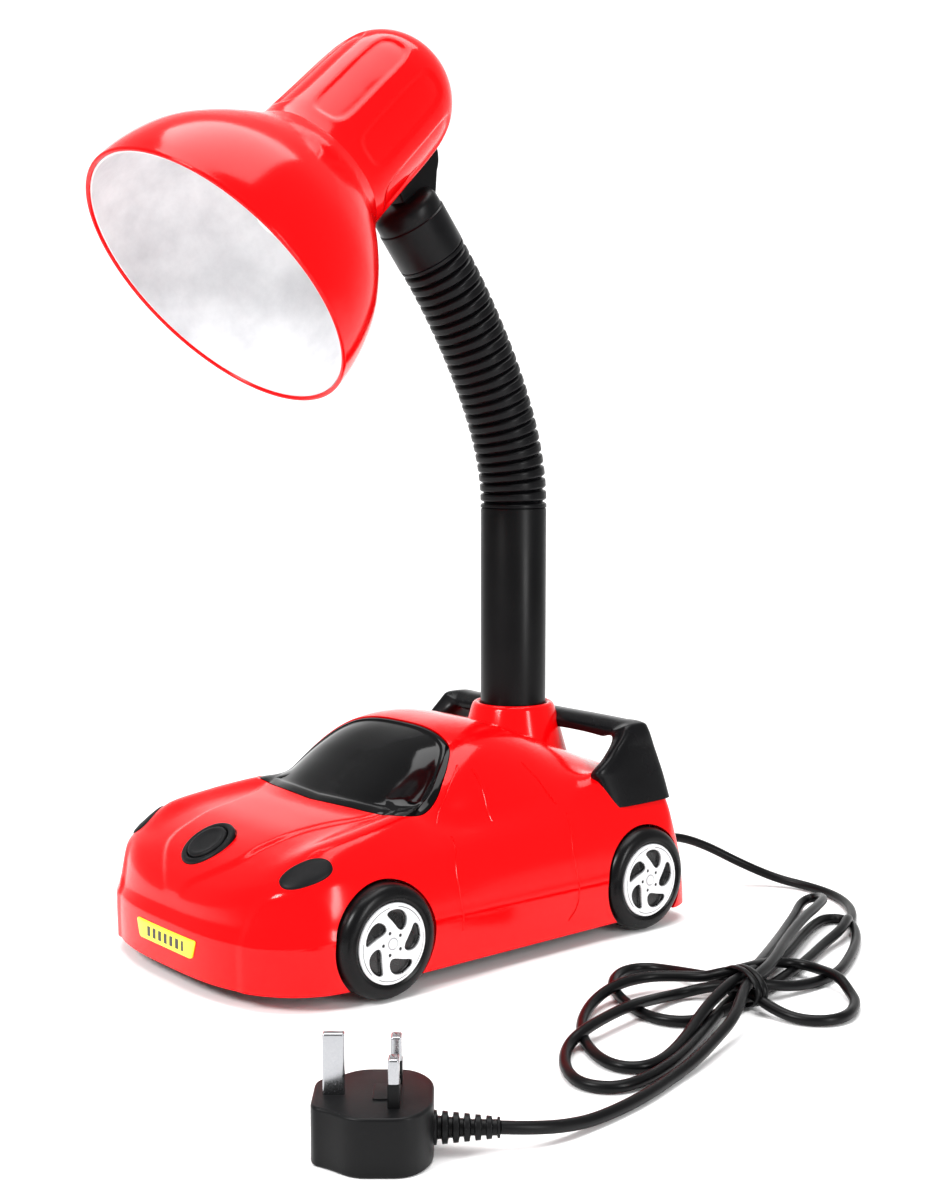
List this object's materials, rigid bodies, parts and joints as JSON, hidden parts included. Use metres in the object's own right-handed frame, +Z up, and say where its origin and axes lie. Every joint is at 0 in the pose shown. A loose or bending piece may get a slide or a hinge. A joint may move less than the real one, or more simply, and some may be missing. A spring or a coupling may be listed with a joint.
{
  "type": "toy car desk lamp",
  "caption": "Desk lamp with a hollow toy-car base, a bonnet push switch, a bendable corrugated neck and a tilting bell shade, with its mains lead and plug.",
  "frame": {"origin": "on the desk, under the middle of the lamp without its mains lead", "axes": "+Z up; -Y towards the nose of the car; +X the left side of the car, where the lead lies"},
  "size_m": [0.3457, 0.4235, 0.4581],
  "materials": {
    "red_abs": "glossy",
    "black_gloss_plastic": "glossy",
    "black_matte_plastic": "satin",
    "black_sleeve": "satin",
    "arm_nylon": "satin",
    "yellow_plastic": "satin",
    "foot_rubber": "matt",
    "tyre_plastic": "satin",
    "hub_plastic": "glossy",
    "screw_steel": "satin",
    "cast_weight": "rough",
    "reflector_white": "satin",
    "white_thermoplastic": "satin",
    "brass": "polished",
    "bulb_glass": "frosted",
    "cord_pvc": "satin"
  },
  "bodies": {
    "base": {"arm_0": "arm_nylon", "base_plate": "black_matte_plastic", "base_screws": "screw_steel", "car_shell": "red_abs", "cord_bundle": "cord_pvc", "cord_gland": "cord_pvc", "cord_lead": "cord_pvc", "cord_tail": "cord_pvc", "cord_tie": "cord_pvc", "counterweight": "cast_weight", "headlamp_left": "black_matte_plastic", "headlamp_right": "black_matte_plastic", "hub_front_left": "hub_plastic", "hub_front_right": "hub_plastic", "hub_rear_left": "hub_plastic", "hub_rear_right": "hub_plastic", "number_plate": "yellow_plastic", "plug_body": "black_matte_plastic", "plug_fuse_cover": "black_matte_plastic", "plug_pins": "brass", "plug_relief": "cord_pvc", "rear_wing": "black_gloss_plastic", "rubber_feet": "foot_rubber", "sleeve_0": "black_sleeve", "stem_nut": "arm_nylon", "stem_spigot": "arm_nylon", "stem_tube": "black_matte_plastic", "switch_bezel": "black_gloss_plastic", "switch_body": "black_matte_plastic", "tyre_front_left": "tyre_plastic", "tyre_front_right": "tyre_plastic", "tyre_rear_left": "tyre_plastic", "tyre_rear_right": "tyre_plastic", "weight_screws": "screw_steel", "wheel_pegs": "screw_steel", "windscreen": "black_gloss_plastic"},
    "link_1": {"sleeve_1": "black_sleeve", "arm_1": "arm_nylon"},
    "link_2": {"sleeve_2": "black_sleeve", "arm_2": "arm_nylon"},
    "link_3": {"sleeve_3": "black_sleeve", "arm_3": "arm_nylon"},
    "link_4": {"sleeve_4": "black_sleeve", "arm_4": "arm_nylon"},
    "link_5": {"sleeve_5": "black_sleeve", "arm_5": "arm_nylon"},
    "link_6": {"top_sleeve": "black_sleeve", "arm_6": "arm_nylon", "knuckle": "black_matte_plastic"},
    "head": {"neck_housing": "red_abs", "shade_bell": "red_abs", "reflector_liner": "reflector_white", "lampholder": "white_thermoplastic", "holder_contacts": "brass", "bulb_glass": "bulb_glass", "bulb_cap": "brass", "pivot_bolt": "screw_steel", "pivot_nut": "screw_steel"},
    "button": {"switch_button": "black_matte_plastic"}
  },
  "joints": [
    {"name": "neck_bend_1", "type": "hinge", "parent": "base", "child": "link_1", "pos_m": [0, 0.0953, 0.23085], "axis": [1, 0, 0], "range_deg": [-12, 12]},
    {"name": "neck_sway_2", "type": "hinge", "parent": "link_1", "child": "link_2", "pos_m": [0, 0.09025, 0.25462], "axis": [0, 0.96, 0.2798], "range_deg": [-10, 10]},
    {"name": "neck_bend_3", "type": "hinge", "parent": "link_2", "child": "link_3", "pos_m": [0, 0.08174, 0.27738], "axis": [1, 0, 0], "range_deg": [-12, 12]},
    {"name": "neck_sway_4", "type": "hinge", "parent": "link_3", "child": "link_4", "pos_m": [0, 0.07108, 0.29922], "axis": [0, 0.8829, 0.4695], "range_deg": [-10, 10]},
    {"name": "neck_bend_5", "type": "hinge", "parent": "link_4", "child": "link_5", "pos_m": [0, 0.05894, 0.32027], "axis": [1, 0, 0], "range_deg": [-12, 12]},
    {"name": "neck_sway_6", "type": "hinge", "parent": "link_5", "child": "link_6", "pos_m": [0, 0.04552, 0.34053], "axis": [0, 0.8116, 0.5842], "range_deg": [-10, 10]},
    {"name": "head_tilt", "type": "hinge", "parent": "link_6", "child": "head", "pos_m": [0, 0.02229, 0.39804], "axis": [1, 0, 0], "range_deg": [-45, 8]},
    {"name": "switch_press", "type": "slide", "parent": "base", "child": "button", "axis": [0, 0.5299, -0.848], "range_m": [0, 0.0025], "stiffness_N_per_m": 600, "springref_m": -0.001}
  ],
  "couplings": [
    {"joint": "neck_bend_3", "follows": "neck_bend_1", "ratio": 1},
    {"joint": "neck_bend_5", "follows": "neck_bend_1", "ratio": 1},
    {"joint": "neck_sway_4", "follows": "neck_sway_2", "ratio": 1},
    {"joint": "neck_sway_6", "follows": "neck_sway_2", "ratio": 1}
  ]
}
